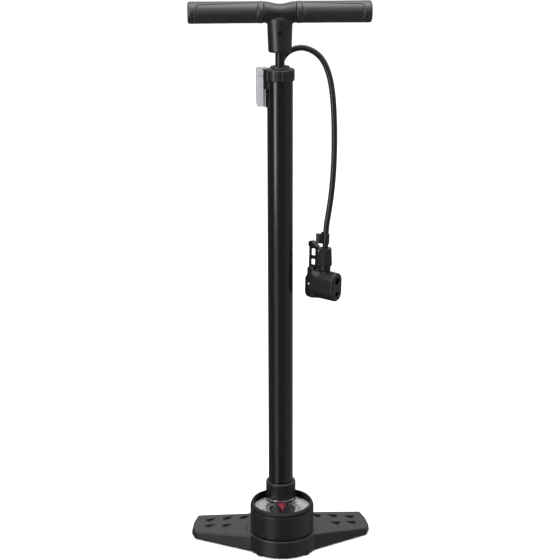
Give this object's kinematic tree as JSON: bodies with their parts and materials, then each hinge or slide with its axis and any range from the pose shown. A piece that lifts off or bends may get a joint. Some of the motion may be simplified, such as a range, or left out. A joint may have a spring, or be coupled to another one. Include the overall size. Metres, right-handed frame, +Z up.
{
  "type": "floor_bike_pump",
  "caption": "Floor bicycle pump: T handle, painted barrel on a winged foot with a pressure gauge, hose and twin-port thumb-lever head, accessory case.",
  "frame": {"origin": "The point on the floor under the barrel's axis, on the underside of the middle foot pad.", "axes": "+Z runs up the barrel, +Y points to the back of the pump where the hose leaves it, away from the gauge, and +X points to the side that the pump head hangs on."},
  "size_m": [0.217, 0.1112, 0.6443],
  "materials": {
    "barrel_paint": "gloss black enamel",
    "rod_black": "black oxide, lightly oiled",
    "base_plastic": "fine-textured black moulding",
    "gloss_trim": "gloss black",
    "satin_plastic": "satin black",
    "handle_plastic": "satin charcoal",
    "grip_rubber": "soft-touch",
    "soft_rubber": "plain",
    "hose_rubber": "smooth satin",
    "steel": "zinc plated",
    "dark_metal": "blackened",
    "brass": "turned",
    "dial_face": "printed",
    "clear_lens": "clear, polished",
    "needle_red": "red enamel",
    "case_clear": "milky translucent"
  },
  "bodies": {
    "stand": {"barrel": "barrel_paint", "base": "base_plastic", "base_screws": "steel", "bourdon_tube": "brass", "foot_pads": "soft_rubber", "foot_valve_body": "satin_plastic", "foot_valve_ring": "soft_rubber", "gauge_bezel": "gloss_trim", "gauge_capsule": "brass", "gauge_dial": "dial_face", "gauge_housing": "base_plastic", "gauge_inlet": "brass", "gauge_lens": "clear_lens", "head_body": "satin_plastic", "head_nut": "satin_plastic", "hose": "hose_rubber", "hose_clip": "satin_plastic", "hose_outlet": "brass", "large_port_seal": "soft_rubber", "lever_pin": "steel", "movement_plate": "brass", "outlet_ferrule": "dark_metal", "port_cap": "satin_plastic", "rod_bush": "satin_plastic", "small_port_seal": "soft_rubber", "top_cap": "satin_plastic", "valve_seat_plate": "steel", "valve_spring": "steel"},
    "piston": {"piston_carrier": "satin_plastic", "piston_seal": "soft_rubber", "piston_nut": "steel"},
    "handle": {"piston_rod": "rod_black", "handle_core": "handle_plastic", "handle_screw": "steel", "left_grip": "grip_rubber", "right_grip": "grip_rubber", "left_grip_cap": "handle_plastic", "right_grip_cap": "handle_plastic"},
    "head_lever": {"lever": "satin_plastic"},
    "pusher": {"seal_pusher": "satin_plastic"},
    "pointer": {"gauge_needle": "needle_red", "needle_arbor": "steel"},
    "foot_valve": {"valve_poppet": "soft_rubber"},
    "case": {"adapter_case": "case_clear", "ball_needle": "steel", "taper_nozzle": "satin_plastic"},
    "case_lid": {"adapter_case_lid": "case_clear"}
  },
  "joints": [
    {"name": "pump_stroke", "type": "slide", "parent": "stand", "child": "piston", "axis": [0, 0, 1], "range_m": [0, 0.48]},
    {"name": "handle_swivel", "type": "hinge", "parent": "piston", "child": "handle", "pos_m": [0, 0, 0.054], "axis": [0, 0, 1], "continuous": true},
    {"name": "lever_flip", "type": "hinge", "parent": "stand", "child": "head_lever", "pos_m": [0.03961, 0.0123, 0.31673], "axis": [-0.6558, -0.7547, 0.0161], "range_deg": [0, 95]},
    {"name": "seal_squeeze", "type": "slide", "parent": "stand", "child": "pusher", "axis": [0.7544, -0.656, -0.0206], "range_m": [0, 0.00106]},
    {"name": "pointer_turn", "type": "hinge", "parent": "stand", "child": "pointer", "pos_m": [0, -0.0315, 0.048], "axis": [0, 0, -1], "range_deg": [0, 270], "stiffness_Nm_per_rad": 0.00002, "springref_deg": -17.19},
    {"name": "valve_lift", "type": "slide", "parent": "stand", "child": "foot_valve", "axis": [0, 0, -1], "range_m": [0, 0.0015], "stiffness_N_per_m": 50, "springref_m": -0.003},
    {"name": "case_lift", "type": "slide", "parent": "stand", "child": "case", "axis": [0, 0, 1], "range_m": [0, 0.044]},
    {"name": "lid_flip", "type": "hinge", "parent": "case", "child": "case_lid", "pos_m": [-0.0266, 0, 0.5626], "axis": [0, -1, 0], "range_deg": [0, 110]}
  ],
  "couplings": [
    {"joint": "seal_squeeze", "follows": "lever_flip", "m_per_rad": 0.0006393}
  ]
}
